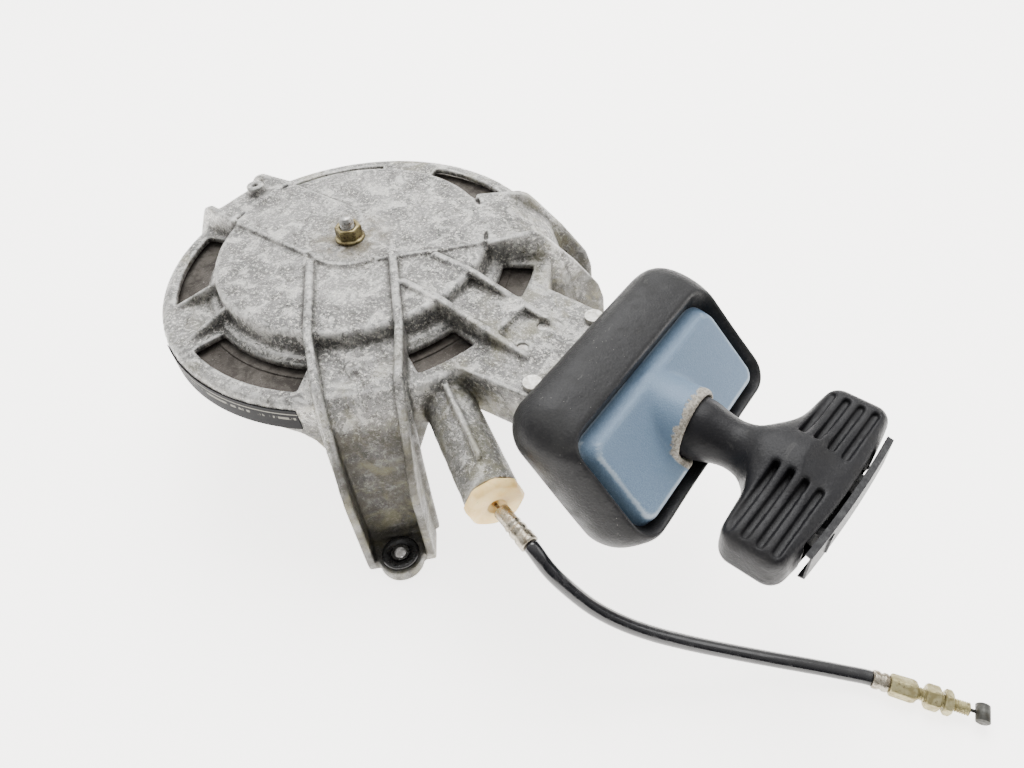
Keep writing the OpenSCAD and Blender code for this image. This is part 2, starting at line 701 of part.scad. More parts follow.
module handle_grip() {
    color([0.13, 0.13, 0.14]) difference() {
        union() {
            grip_solid();
            along_x(nose_x - 13, nose_x + 10) circle(r = neck_r);
            translate([nose_x + 9, 0, rope_z]) rotate([0, 90, 0]) cylinder(r1 = neck_r, r2 = neck_r - 3, h = 8);
            along_x(nose_x + 16, grip_x + 4) circle(r = neck_r - 3);
        }
        along_x(nose_x - 20, knot_x) circle(r = rope_r + 0.2);
        translate([knot_x - 4.5, -22, rope_z - 8]) cube([grip_deep, 44, 16]);
    }
}

module rope_washer() {
    color("silver") translate([knot_x - 4.48, 0, rope_z]) rotate([0, 90, 0]) difference() {
        cylinder(r = 7, h = 1.5);
        translate([0, 0, -1]) cylinder(r = rope_r + 0.2, h = 4);
    }
}

module rope_knot() {
    color("ivory") translate([knot_x + 3, 0, rope_z]) sphere(r = 5.4, $fn = 32);
}

module handle_cover() {
    color("slategray") translate([grip_end + cover_lift, 0, rope_z - 1]) rotate([0, 0, 4]) rotate([0, 90, 0]) {
        translate([0, 0, -1]) linear_extrude(2) round_rect(grip_thick - 6, grip_len * 0.72, 3, $fn = 32);
        for (s = [-1, 1]) translate([-5, s * 17 - 2, -cover_lift - 8]) cube([10, 4, cover_lift + 8]);
    }
}

starter_case();
maker_plate();
foot_grommets();
foot_collars();
center_bolt();
center_nut();
spiral_spring();
drive_plate();
plate_spring();
roller_pins();
rope_seat();
cowl_seal();
seat_screws();
cable_cap();
plunger_spring();
near_ferrule();
cable_sheath();
far_ferrule();
adjuster_body();
adjuster_nuts();
rope_lead();
rope_drum();
drum_bush();
rope_turns();
pawl_pin();
pawl_spring();
drive_pawl();
far_roller();
near_roller();
lock_plunger();
inner_wire();
wire_nipple();
rope_run();
handle_grip();
rope_washer();
rope_knot();
handle_cover();
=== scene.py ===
import math

import bpy
import numpy as np
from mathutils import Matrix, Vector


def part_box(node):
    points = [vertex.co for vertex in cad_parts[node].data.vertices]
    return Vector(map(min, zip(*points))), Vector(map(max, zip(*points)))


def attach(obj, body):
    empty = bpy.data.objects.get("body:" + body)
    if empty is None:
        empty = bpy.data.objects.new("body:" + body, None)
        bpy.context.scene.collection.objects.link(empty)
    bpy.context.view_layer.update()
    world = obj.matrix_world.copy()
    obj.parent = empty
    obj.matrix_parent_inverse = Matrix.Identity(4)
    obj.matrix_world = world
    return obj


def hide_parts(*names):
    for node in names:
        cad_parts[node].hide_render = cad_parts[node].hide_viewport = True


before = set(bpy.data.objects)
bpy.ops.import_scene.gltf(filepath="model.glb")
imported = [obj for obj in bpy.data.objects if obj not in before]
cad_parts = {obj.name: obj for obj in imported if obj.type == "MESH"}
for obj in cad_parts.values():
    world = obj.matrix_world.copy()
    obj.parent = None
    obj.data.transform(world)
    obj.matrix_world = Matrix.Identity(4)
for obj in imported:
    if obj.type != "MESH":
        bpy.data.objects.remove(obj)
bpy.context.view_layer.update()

import openvdb
from mathutils import Matrix, Vector

# ---------------------------------------------------------------------------
# Studio: the starter stands on a warm white sweep, under one large soft light
# from above and behind and two weaker ones at the sides.

camera = bpy.data.objects.new("camera", bpy.data.cameras.new("camera"))
bpy.context.collection.objects.link(camera)
camera.data.lens = 27.07
camera.data.sensor_width = 36
camera.data.clip_start = 0.01
camera_right = (0.80716, 0.58533, -0.07673)
camera_up = (-0.38447, 0.61986, 0.68406)
camera_back = (0.44796, -0.52265, 0.72537)
camera_place = (0.29370, -0.22028, 0.36435)
camera.matrix_world = Matrix([
    (camera_right[i], camera_up[i], camera_back[i], camera_place[i]) for i in range(3)
] + [(0, 0, 0, 1)])
bpy.context.scene.camera = camera

floor_side = 8.0
floor_drop = 0.0004
bpy.ops.mesh.primitive_plane_add(size=floor_side, location=(0, 0, -floor_drop))
floor = bpy.context.object
floor.name = "studio_floor"
paper = bpy.data.materials.new("warm_paper")
paper.use_nodes = True
paper_shader = paper.node_tree.nodes["Principled BSDF"]
paper_shader.inputs["Base Color"].default_value = (0.90, 0.885, 0.86, 1)
paper_shader.inputs["Roughness"].default_value = 0.7
paper_shader.inputs["Emission Color"].default_value = (1, 0.975, 0.945, 1)
paper_shader.inputs["Emission Strength"].default_value = 3.4
floor.data.materials.append(paper)


def softbox(name, place, aim, size, watts):
    """Square area light of that size at place, turned towards aim."""
    lamp = bpy.data.objects.new(name, bpy.data.lights.new(name, "AREA"))
    bpy.context.collection.objects.link(lamp)
    lamp.data.size = size
    lamp.data.energy = watts
    lamp.location = place
    lamp.rotation_euler = (Vector(aim) - Vector(place)).to_track_quat("-Z", "Y").to_euler()


softbox("overhead_light", (-0.30, 0.75, 1.5), (0.05, 0, 0.05), 1.3, 44)
softbox("left_light", (-1.3, -0.2, 0.8), (0.05, 0, 0.05), 1.0, 5)
softbox("right_light", (1.2, 0.9, 0.9), (0.15, 0, 0.05), 0.9, 6)

studio_air = bpy.data.worlds.new("studio_air")
bpy.context.scene.world = studio_air
studio_air.use_nodes = True
air_nodes, air_links = studio_air.node_tree.nodes, studio_air.node_tree.links
sky_way = air_nodes.new("ShaderNodeTexCoord")
facing = air_nodes.new("ShaderNodeVectorMath")
facing.operation = "DOT_PRODUCT"
facing.inputs[1].default_value = (-0.40, 0.52, 0.75)
air_links.new(sky_way.outputs["Generated"], facing.inputs[0])
glow = air_nodes.new("ShaderNodeMapRange")
for socket, value in (("From Min", -0.45), ("From Max", 0.95), ("To Min", 0.04), ("To Max", 1.7)):
    glow.inputs[socket].default_value = value
air_links.new(facing.outputs["Value"], glow.inputs["Value"])
air_links.new(glow.outputs["Result"], air_nodes["Background"].inputs["Strength"])
air_nodes["Background"].inputs["Color"].default_value = (1, 0.99, 0.975, 1)

# ---------------------------------------------------------------------------
# Case: one die casting in aluminium, with ribs, three legs and a rope snout.
# It was cast with rounded edges and has weathered to a mottled grey, bright
# on its edges and stained where water stood. Its inner corners and its lower part carry painted shade.


def new_piece(name, points, faces, body, *nodes):
    """Smooth mesh of that name from points and faces, riding on body in place of nodes."""
    mesh = bpy.data.meshes.new(name)
    mesh.from_pydata(np.asarray(points).tolist(), [], [list(map(int, face)) for face in faces])
    mesh.polygons.foreach_set("use_smooth", np.full(len(mesh.polygons), True))
    mesh.update()
    piece = bpy.data.objects.new(name, mesh)
    bpy.context.collection.objects.link(piece)
    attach(piece, body)
    if nodes:
        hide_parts(*nodes)
    return piece


def blur(field, reach):
    """Gaussian average of a grid along its three axes; reach is its sigma in cells."""
    span = np.arange(-math.ceil(2.5 * reach), math.ceil(2.5 * reach) + 1)
    weight = np.exp(-0.5 * (span / reach) ** 2)
    weight /= weight.sum()
    for axis in range(3):
        field = sum(share * np.roll(field, step, axis=axis) for step, share in zip(span, weight))
    return field


def skin(name, field, low, cell, coarse, body, *nodes):
    """Mesh of a distance field's zero surface: the field is negative inside, and low is its first point.
    The attribute bend is the field's Laplacian there: positive on edges, negative in inner corners."""
    grid = openvdb.FloatGrid(float(field.max()))
    grid.copyFromArray(field.astype(np.float64), tolerance=0.0)
    points, triangles, quads = grid.convertToPolygons(isovalue=0.0, adaptivity=coarse)
    curve = sum(np.roll(field, 1, a) + np.roll(field, -1, a) - 2 * field for a in range(3)) / cell ** 2
    nearest = np.clip(np.rint(points).astype(int), 0, np.array(field.shape) - 1)
    curve = blur(curve, 0.8)[tuple(nearest.T)]
    faces = [corner[::-1] for corner in triangles] + [corner[::-1] for corner in quads]
    piece = new_piece(name, points * cell + np.asarray(low), faces, body, *nodes)
    piece.data.attributes.new("bend", "FLOAT", "POINT").data.foreach_set("value", curve.astype(np.float32))
    return piece


def solid_field(node, cell, margin=4):
    """Distance field of a CAD node's closed mesh and its first point, from a level set three cells deep."""
    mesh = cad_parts[node].data
    points = np.empty(len(mesh.vertices) * 3)
    mesh.vertices.foreach_get("co", points)
    mesh.calc_loop_triangles()
    corners = np.empty(len(mesh.loop_triangles) * 3, dtype=np.int64)
    mesh.loop_triangles.foreach_get("vertices", corners)
    shared, place = np.unique(np.round(points.reshape(-1, 3), 7), axis=0, return_inverse=True)
    triangles = place.reshape(-1)[corners].reshape(-1, 3).astype(np.uint32)
    low = shared.min(axis=0) - margin * cell
    size = np.ceil((shared.max(axis=0) - low) / cell).astype(int) + margin
    grid = openvdb.FloatGrid.createLevelSetFromPolygons(
        (shared - low) / cell, triangles=triangles, halfWidth=3.0)
    field = np.empty(size)
    grid.copyToArray(field)
    return field * cell, low


class Finish:
    """A material with one Principled shader, and short words for the nodes that feed it."""

    def __init__(self, name, colour=(0.5, 0.5, 0.5), rough=0.5, metal=0.0, **sockets):
        self.material = bpy.data.materials.new(name)
        self.material.use_nodes = True
        self.nodes = self.material.node_tree.nodes
        self.links = self.material.node_tree.links
        self.shader = self.nodes["Principled BSDF"]
        self.shader.inputs["Base Color"].default_value = (*colour, 1)
        self.shader.inputs["Roughness"].default_value = rough
        self.shader.inputs["Metallic"].default_value = metal
        for socket, value in sockets.items():
            self.shader.inputs[socket.replace("_", " ")].default_value = value
        self.place = self.nodes.new("ShaderNodeTexCoord").outputs["Object"]

    def from_axis(self, point, along):
        """Distance to the line through point along one axis, 0 for X or 2 for Z."""
        flat = self.nodes.new("ShaderNodeMapping")
        flat.inputs["Location"].default_value = tuple(-c for c in point)
        flat.inputs["Scale"].default_value = tuple(0 if i == along else 1 for i in range(3))
        self.links.new(self.place, flat.inputs["Vector"])
        distance = self.nodes.new("ShaderNodeVectorMath")
        distance.operation = "LENGTH"
        self.links.new(flat.outputs["Vector"], distance.inputs[0])
        return distance.outputs["Value"]

    def feed(self, socket, source):
        """Links source to a socket, or sets the socket if source is a plain value."""
        if isinstance(source, bpy.types.NodeSocket):
            self.links.new(source, socket)
        elif hasattr(source, "__len__") and len(source) == 3 and socket.type == "RGBA":
            socket.default_value = (*source, 1)
        else:
            socket.default_value = source

    def noise(self, scale, detail=3.0, rough=0.55, warp=0.0, stretch=None):
        """Noise by Object coordinates; scale is in features per metre, stretch squeezes each axis."""
        node = self.nodes.new("ShaderNodeTexNoise")
        node.inputs["Scale"].default_value = scale
        node.inputs["Detail"].default_value = detail
        node.inputs["Roughness"].default_value = rough
        node.inputs["Distortion"].default_value = warp
        where = self.place
        if stretch:
            squeeze = self.nodes.new("ShaderNodeMapping")
            squeeze.inputs["Scale"].default_value = stretch
            self.links.new(where, squeeze.inputs["Vector"])
            where = squeeze.outputs["Vector"]
        self.links.new(where, node.inputs["Vector"])
        return node.outputs["Fac"]

    def cells(self, scale, feature="F1"):
        """Distance to the nearest of scattered points."""
        node = self.nodes.new("ShaderNodeTexVoronoi")
        node.feature = feature
        node.inputs["Scale"].default_value = scale
        self.links.new(self.place, node.inputs["Vector"])
        return node.outputs["Distance"]

    def step(self, source, low, high, floor=0.0, top=1.0):
        """Smooth ramp from floor at low to top at high."""
        node = self.nodes.new("ShaderNodeMapRange")
        node.interpolation_type = "SMOOTHSTEP"
        limits = {"Value": source, "From Min": low, "From Max": high, "To Min": floor, "To Max": top}
        for name, value in limits.items():
            self.feed(node.inputs[name], value)
        return node.outputs["Result"]

    def maths(self, kind, first, second=0.0):
        """A Math node of that kind."""
        node = self.nodes.new("ShaderNodeMath")
        node.operation = kind
        self.feed(node.inputs[0], first)
        self.feed(node.inputs[1], second)
        return node.outputs[0]

    def both(self, first, second):
        """Product of two values."""
        return self.maths("MULTIPLY", first, second)

    def mix(self, share, under, over):
        """Colour that goes from under to over with share."""
        node = self.nodes.new("ShaderNodeMix")
        node.data_type = "RGBA"
        self.feed(node.inputs[0], share)
        self.feed(node.inputs[6], under)
        self.feed(node.inputs[7], over)
        return node.outputs[2]

    def axis(self, letter):
        """One Object coordinate."""
        node = self.nodes.new("ShaderNodeSeparateXYZ")
        self.links.new(self.place, node.inputs[0])
        return node.outputs[letter]

    def own(self, name):
        """A value that the mesh carries."""
        node = self.nodes.new("ShaderNodeAttribute")
        node.attribute_name = name
        return node.outputs["Fac"]

    def colour(self, source):
        self.links.new(source, self.shader.inputs["Base Color"])

    def rough(self, source):
        self.links.new(source, self.shader.inputs["Roughness"])

    def relief(self, height, depth):
        """Bump of that depth in metres."""
        node = self.nodes.new("ShaderNodeBump")
        node.inputs["Distance"].default_value = depth
        self.feed(node.inputs["Height"], height)
        self.links.new(node.outputs["Normal"], self.shader.inputs["Normal"])

    def on(self, piece):
        piece.data.materials.clear()
        piece.data.materials.append(self.material)


casting_cell = 0.0007
edge_softness = 0.95
coarse_flats = 0.12
case_field, case_low = solid_field("starter_case", casting_cell)
case_field = blur(case_field, edge_softness)
casting = skin("case_casting", case_field, case_low, casting_cell, coarse_flats, "case", "starter_case")

cast = Finish("weathered_casting", rough=0.45, metal=0.9)
bend = cast.own("bend")
cloud = cast.noise(30, 5, 0.62, 0.5)
patch = cast.noise(95, 6, 0.7, 0.6)
flake = cast.noise(560, 6, 0.80, 0.3)
grain = cast.noise(1500, 4, 0.7)
skin_grey = cast.mix(cast.step(cloud, 0.36, 0.66), (0.150, 0.149, 0.146), (0.30, 0.296, 0.287))
skin_grey = cast.mix(cast.step(patch, 0.50, 0.62, 0, 0.7), skin_grey, (0.66, 0.65, 0.62))
skin_grey = cast.mix(cast.step(patch, 0.45, 0.36, 0, 0.7), skin_grey, (0.095, 0.092, 0.085))
skin_grey = cast.mix(cast.step(flake, 0.53, 0.59, 0, 0.8), skin_grey, (0.82, 0.80, 0.74))
skin_grey = cast.mix(cast.step(grain, 0.45, 0.37, 0, 0.8), skin_grey, (0.055, 0.052, 0.047))
pit_zone = cast.step(cast.noise(50, 4, 0.65), 0.42, 0.60)
pits = cast.both(cast.step(cast.noise(620, 5, 0.75), 0.44, 0.36), pit_zone)
skin_grey = cast.mix(pits, skin_grey, (0.035, 0.032, 0.027))
worn = cast.both(cast.step(bend, 90, 260), cast.step(cast.noise(170, 4, 0.65), 0.36, 0.60))
skin_grey = cast.mix(cast.both(worn, 0.55), skin_grey, (0.60, 0.595, 0.575))
# Painted shade: darker in the inner corners, where the bend is negative.
skin_grey = cast.mix(cast.step(bend, -130, -420, 0, 0.5), skin_grey, (0.065, 0.062, 0.055))
height = cast.axis("Z")
# Mask of the lower part: it bounds the water stain and the painted shade below the rim.
low_stain_and_shade = cast.step(height, 0.098, 0.078)
damp = cast.both(low_stain_and_shade, cast.step(cast.noise(70, 5, 0.65, 0.5), 0.42, 0.60))
skin_grey = cast.mix(cast.both(damp, 0.65), skin_grey, (0.13, 0.115, 0.070))
# Painted shade: the whole lower part is darkened, lit less than the top.
skin_grey = cast.mix(cast.both(low_stain_and_shade, 0.72), skin_grey, (0.055, 0.053, 0.049))
distance_out = cast.from_axis((0, 0, 0), 2)
nut_stain = cast.both(cast.step(distance_out, 0.030, 0.008), cast.step(cast.noise(140, 4, 0.65), 0.35, 0.6))
skin_grey = cast.mix(cast.both(nut_stain, 0.75), skin_grey, (0.12, 0.098, 0.055))
lichen = cast.both(cast.step(distance_out, 0.072, 0.115), cast.step(cast.noise(48, 5, 0.7, 0.6), 0.48, 0.66))
skin_grey = cast.mix(cast.both(lichen, 0.5), skin_grey, (0.22, 0.205, 0.13))
cast.colour(skin_grey)
cast.rough(cast.step(cast.noise(120, 5, 0.7), 0.34, 0.66, 0.30, 0.56))
roughness_of_skin = cast.maths("ADD", cast.both(grain, 0.6), cast.both(patch, 1.4))
cast.relief(cast.maths("ADD", flake, roughness_of_skin), 0.00055)
cast.on(casting)

# The foil label is a thin charcoal strip glued round the skirt, with a fine
# pale rule and one row of worn marks.
label = Finish("label_foil", (0.010, 0.010, 0.011), 0.6, Specular_IOR_Level=0.12)
label_height = label.axis("Z")
label_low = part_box("maker_plate")[0][2]


def band(finish, source, middle, half, soft):
    """1 where source is within half of middle, falling to 0 over soft."""
    gap = finish.maths("ABSOLUTE", finish.maths("SUBTRACT", source, middle))
    return finish.step(gap, half + soft, half)


rule = band(label, label_height, label_low + 0.0104, 0.00022, 0.0001)
broken = label.step(label.noise(520, 2, 0.5, 0, (1, 1, 0.2)), 0.47, 0.53)
marks = label.both(band(label, label_height, label_low + 0.0074, 0.0007, 0.0002), broken)
scuffs = label.step(label.noise(420, 6, 0.75), 0.60, 0.72)
print_share = label.maths("MAXIMUM", rule, label.both(marks, 0.7))
label_ink = label.mix(print_share, (0.010, 0.010, 0.011), (0.30, 0.29, 0.25))
label.colour(label.mix(label.both(scuffs, 0.5), label_ink, (0.07, 0.068, 0.062)))
label.on(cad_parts["maker_plate"])


# ---------------------------------------------------------------------------
# Grommets and collars: glossy black rubber rings pressed into the three feet,
# each round a short steel tube.


def turned(name, start, heading, rows, body, *nodes, spokes=64, closed=False, twist=0.0, thread=None):
    """Bar stock turned on a lathe: rows of (place along, round radius, flats, half width across flats).
    A point's radius is the round radius, or the flats' half width over the cosine to the nearest flat
    where that is less. thread is (from, to, pitch, depth): there a triangle wave runs round as a helix.
    closed joins the last row to the first, for a ring; otherwise both ends run to the axis."""
    if thread:
        rows = list(rows)
        low, high, pitch, depth = thread
        radius = min((r for r in rows if low - 1e-6 <= r[0] <= high + 1e-6), key=lambda r: abs(r[0] - low))[1]
        count = int((high - low) / pitch * 8)
        fine = [(low + (high - low) * i / count, radius, 0, 0) for i in range(count + 1)]
        rows = [r for r in rows if r[0] <= low] + fine[1:-1] + [r for r in rows if r[0] >= high]
    rows = np.array([tuple(r) + (0,) * (4 - len(r)) for r in rows], dtype=float)
    angle = np.linspace(0, 2 * np.pi, spokes, endpoint=False)
    radius = np.repeat(rows[:, 1:2], spokes, axis=1)
    for i, (along, full, flats, half) in enumerate(rows):
        if flats:
            off = np.abs((angle + twist) % (2 * np.pi / flats) - np.pi / flats)
            radius[i] = np.minimum(full, half / np.cos(off))
    if thread:
        inside = (rows[:, 0] > low) & (rows[:, 0] < high)
        wave = np.abs(((rows[:, 0:1] / pitch - angle / (2 * np.pi)) % 1.0) - 0.5) * 2
        radius -= np.where(inside[:, None], depth * wave, 0)
    axis = np.array(heading, dtype=float)
    axis /= np.linalg.norm(axis)
    side = np.cross(axis, (0, 0, 1)) if abs(axis[2]) < 0.9 else np.array((1.0, 0, 0))
    side /= np.linalg.norm(side)
    third = np.cross(axis, side)
    ring = np.cos(angle)[:, None] * side + np.sin(angle)[:, None] * third
    points = np.asarray(start) + rows[:, None, 0:1] * axis + radius[:, :, None] * ring
    count = len(rows)
    points = points.reshape(-1, 3)
    faces = [
        (i % count * spokes + k, i % count * spokes + (k + 1) % spokes,
         (i + 1) % count * spokes + (k + 1) % spokes, (i + 1) % count * spokes + k)
        for i in range(count if closed else count - 1) for k in range(spokes)
    ]
    if not closed:
        ends = [np.asarray(start) + rows[0, 0] * axis, np.asarray(start) + rows[-1, 0] * axis]
        points = np.vstack([points, ends])
        last = (count - 1) * spokes
        faces += [(count * spokes, (k + 1) % spokes, k) for k in range(spokes)]
        faces += [(count * spokes + 1, last + k, last + (k + 1) % spokes) for k in range(spokes)]
    if name is None:
        return points, faces
    return new_piece(name, points, faces, body, *nodes)


def together(parts):
    """Rows of points and corners of several parts as one."""
    points, faces, count = [], [], 0
    for some_points, some_faces in parts:
        points.append(some_points)
        faces += [tuple(c + count for c in face) for face in some_faces]
        count += len(some_points)
    return np.vstack(points), faces


def arc(middle, radius, first, last, count=7):
    """Points of an arc (along, radius) from one angle in degrees to another."""
    turn = np.radians(np.linspace(first, last, count))
    return [(middle[0] + radius * math.sin(a), middle[1] + radius * math.cos(a)) for a in turn]


foot_circle = 0.136
foot_angles = [math.radians(a) for a in (180, -45, 45)]
foot_places = [(foot_circle * math.cos(a), foot_circle * math.sin(a)) for a in foot_angles]
grommet_rows = [(0.0005, 0.0049), (0.0005, 0.0084), (0.0080, 0.0084)]
grommet_rows += arc((0.0093, 0.0088), 0.0012, -90, 90)
grommet_rows += [(0.0103, 0.0070), (0.0094, 0.0052), (0.0075, 0.0049)]
grommet_points, grommet_faces = together([
    turned(None, (x, y, 0), (0, 0, 1), grommet_rows, "case", closed=True, spokes=48) for x, y in foot_places])
grommets = new_piece("foot_grommet_rubber", grommet_points, grommet_faces, "case", "foot_grommets")
black_rubber = Finish("glossy_grommet", (0.012, 0.012, 0.013), 0.28)
black_rubber.rough(black_rubber.step(black_rubber.noise(400, 4), 0.3, 0.7, 0.18, 0.45))
black_rubber.relief(black_rubber.noise(900, 3), 0.00015)
black_rubber.on(grommets)


def steel(name, colour, rough, dirt, dirt_share=0.6):
    """Plain steel with fine turning marks and dirt in blotches."""
    finish = Finish(name, colour, rough, 0.9)
    blotch = finish.step(finish.noise(260, 6, 0.7, 0.3), 0.46, 0.62)
    finish.colour(finish.mix(finish.both(blotch, dirt_share), colour, dirt))
    finish.rough(finish.step(finish.noise(700, 4), 0.3, 0.7, max(rough - 0.12, 0.1), rough + 0.18))
    finish.relief(finish.noise(1600, 3, 0.6), 0.00008)
    return finish


collar_steel = steel("collar_steel", (0.10, 0.10, 0.10), 0.35, (0.05, 0.045, 0.04))
collar_steel.on(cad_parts["foot_collars"])

# ---------------------------------------------------------------------------
# Shaft bolt and nut: a steel bolt up through the case, with rolled threads and
# a turned tip, held by a zinc-plated nut on a washer, both stained brown.
bolt_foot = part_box("center_bolt")[0][2]
bolt_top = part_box("center_bolt")[1][2]
nut_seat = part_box("center_nut")[0][2]
stem = 0.0040
tip = bolt_top - bolt_foot
half_spanner = 0.0065
thread_from, thread_to = tip - 0.0135, tip - 0.0022
bolt_rows = [
    (0.0, 0.0060), (0.0, 0.0066, 6, half_spanner), (0.0006, 0.0075, 6, half_spanner),
    (0.0053, 0.0075, 6, half_spanner), (0.0053, 0.0042), (0.0054, stem), (thread_from, stem),
    (thread_to, stem), (tip - 0.0018, 0.0034), (tip - 0.0005, 0.0032), (tip, 0.0026),
]
bolt = turned(
    "shaft_bolt", (0, 0, bolt_foot), (0, 0, 1), bolt_rows, "case", "center_bolt",
    spokes=72, thread=(thread_from, thread_to, 0.00125, 0.0007),
)
bolt_steel = steel("bolt_steel", (0.36, 0.355, 0.34), 0.34, (0.14, 0.10, 0.06), 0.7)
bolt_steel.on(bolt)

nut_rows = [
    (0.0, 0.00402), (0.0, 0.0082), (0.0011, 0.0082), (0.0016, 0.0078),
    (0.0016, 0.0066, 6, half_spanner), (0.0022, 0.00715, 6, half_spanner), (0.0028, 0.0076, 6, half_spanner),
    (0.0068, 0.0076, 6, half_spanner), (0.0075, 0.00715, 6, half_spanner), (0.0080, 0.0064, 6, half_spanner),
    (0.0080, 0.0049), (0.0074, 0.00402),
]
nut = turned(
    "shaft_nut", (0, 0, nut_seat), (0, 0, 1), nut_rows, "case", "center_nut",
    closed=True, spokes=96, twist=0.35,
)
nut_zinc = steel("stained_zinc", (0.26, 0.22, 0.11), 0.36, (0.07, 0.045, 0.022), 0.85)
nut_zinc.on(nut)

# ---------------------------------------------------------------------------
# Under the case: the strip spring, the drive plate with its spring, and the
# rope drum with its bush, pin and pawl. The drum is a grimy casting that
# shows through the windows.
blued = steel("blued_spring", (0.10, 0.11, 0.13), 0.32, (0.06, 0.04, 0.03))
for node in ("spiral_spring", "plate_spring", "pawl_spring", "plunger_spring"):
    blued.on(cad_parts[node])

plain_steel = steel("plain_steel", (0.30, 0.30, 0.29), 0.35, (0.12, 0.10, 0.08))
for node in ("drive_plate", "roller_pins", "pawl_pin", "rope_washer"):
    plain_steel.on(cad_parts[node])

dull_steel = steel("phosphate_steel", (0.10, 0.10, 0.095), 0.5, (0.05, 0.045, 0.04))
for node in ("drive_pawl", "lock_plunger", "inner_wire"):
    dull_steel.on(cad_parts[node])

bush = steel("bush_bronze", (0.42, 0.28, 0.10), 0.35, (0.16, 0.10, 0.04))
bush.on(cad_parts["drum_bush"])

grimy = Finish("grimy_drum", (0.12, 0.11, 0.10), 0.6, 0.55)
dust = grimy.step(grimy.noise(120, 6, 0.7, 0.4), 0.38, 0.62)
oil = grimy.step(grimy.noise(38, 5, 0.65), 0.45, 0.62)
drum_skin = grimy.mix(dust, (0.040, 0.034, 0.029), (0.105, 0.095, 0.083))
drum_skin = grimy.mix(grimy.both(oil, 0.7), drum_skin, (0.035, 0.028, 0.022))
grimy.colour(grimy.mix(grimy.step(grimy.noise(900, 4, 0.7), 0.60, 0.72), drum_skin, (0.18, 0.17, 0.155)))
grimy.rough(grimy.step(oil, 0, 1, 0.72, 0.40))
grimy.relief(grimy.noise(700, 5, 0.7), 0.0004)
bush_seat, drum_hub, groove_floor, drum_wall = 0.0106, 0.0176, 0.0724, 0.0694
lower_flange, upper_flange = 0.0980, 0.1042
drum_rows = [
    (0.0815, bush_seat), (0.0815, drum_hub), (0.0840, drum_hub), (0.0840, lower_flange),
    (0.0860, lower_flange), (0.0860, groove_floor), (0.0940, groove_floor), (0.0940, upper_flange),
    (0.0960, upper_flange), (0.0960, 0.0880), (0.0968, 0.0876), (0.0968, 0.0804), (0.0960, 0.0800),
    (0.0960, drum_wall), (0.0870, drum_wall), (0.0870, drum_hub), (0.0960, drum_hub), (0.0960, bush_seat),
]
drum = turned("cast_rope_drum", (0, 0, 0), (0, 0, 1), drum_rows, "drum", "rope_drum", closed=True, spokes=160)
drum.data.set_sharp_from_angle(angle=math.radians(35))
grimy.on(drum)

braid = Finish("braided_rope", (0.42, 0.39, 0.32), 0.85)
strand = braid.cells(900)
braid.colour(braid.mix(braid.step(strand, 0.0, 0.75), (0.45, 0.42, 0.35), (0.17, 0.15, 0.12)))
braid.relief(strand, 0.0006)
for node in ("rope_turns", "rope_lead", "rope_run", "rope_knot"):
    braid.on(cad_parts[node])

clean_nylon = (0.48, 0.46, 0.42)
white_nylon = Finish("roller_nylon", clean_nylon, 0.5)
nylon_dirt = white_nylon.step(white_nylon.noise(200, 5), 0.4, 0.65)
white_nylon.colour(white_nylon.mix(nylon_dirt, clean_nylon, (0.28, 0.25, 0.20)))
for node in ("far_roller", "near_roller"):
    white_nylon.on(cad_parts[node])

# ---------------------------------------------------------------------------
# Rope seat: a moulded plate with a bevelled border and a round nose that the
# handle rests in. It is painted a fine metallic blue, rubbed to bare metal
# round the mouth, with painted highlight in a lighter blue along its ridges.
rope_height = 0.090
seat_middle = np.array((0.202, 0.0, 0.095))
seat_out = np.array((0.7266, 0.0, 0.6871))
seat_up = np.array((-0.6871, 0.0, 0.7266))


def space(low, high, cell):
    """Coordinates of a grid of points over a box, one cell apart, and its first point."""
    low = np.asarray(low, dtype=float)
    count = np.ceil((np.asarray(high) - low) / cell).astype(int)
    return np.meshgrid(*(low[i] + cell * np.arange(count[i]) for i in range(3)), indexing="ij"), low


def join(one, other, round_off):
    """Union of two fields, with a fillet of about that radius in the corner."""
    share = np.clip(0.5 + 0.5 * (other - one) / round_off, 0, 1)
    return other + (one - other) * share - round_off * share * (1 - share)


def common(one, other, round_off):
    """Where two fields overlap, its edge rounded by about that radius."""
    return -join(-one, -other, round_off)


def box_plan(across, along, half_across, half_along, corner):
    """Distance in a plane to a rectangle with round corners."""
    qx, qy = np.abs(across) - half_across + corner, np.abs(along) - half_along + corner
    return np.hypot(np.maximum(qx, 0), np.maximum(qy, 0)) + np.minimum(np.maximum(qx, qy), 0) - corner


def on_seat(X, Y, Z):
    """Place of each point on the seat: across it, up it and out of it."""
    return Y, (X - seat_middle[0]) * seat_up[0] + (Z - seat_middle[2]) * seat_up[2], \
        (X - seat_middle[0]) * seat_out[0] + (Z - seat_middle[2]) * seat_out[2]


seat_cell = 0.00065
(X, Y, Z), seat_low = space((0.134, -0.066, 0.050), (0.226, 0.070, 0.135), seat_cell)
across, upward, out = on_seat(X, Y, Z)
sunk = np.clip(-out, 0, 0.009) / 0.009
plate_high = 0.0195 + 0.0072 * sunk
plate_low = -0.0225 - 0.0025 * sunk
plate_half = 0.0520 + 0.0040 * sunk
plate_middle = (plate_high + plate_low) / 2
plate_tall = (plate_high - plate_low) / 2
plate = box_plan(across - 0.0025, upward - plate_middle, plate_half, plate_tall, 0.0065)
plate = common(common(plate * 0.8, out, 0.0016), -out - 0.0095, 0.001)
mouth_x = 0.2122
from_rope = np.hypot(Y, Z - rope_height)
nose = common(from_rope - 0.0182 - 0.12 * np.clip(0.196 - X, 0, 0.01), X - mouth_x, 0.0030)
nose = np.maximum(nose, 0.1837 - X)
seat_field = join(plate, nose, 0.0022)
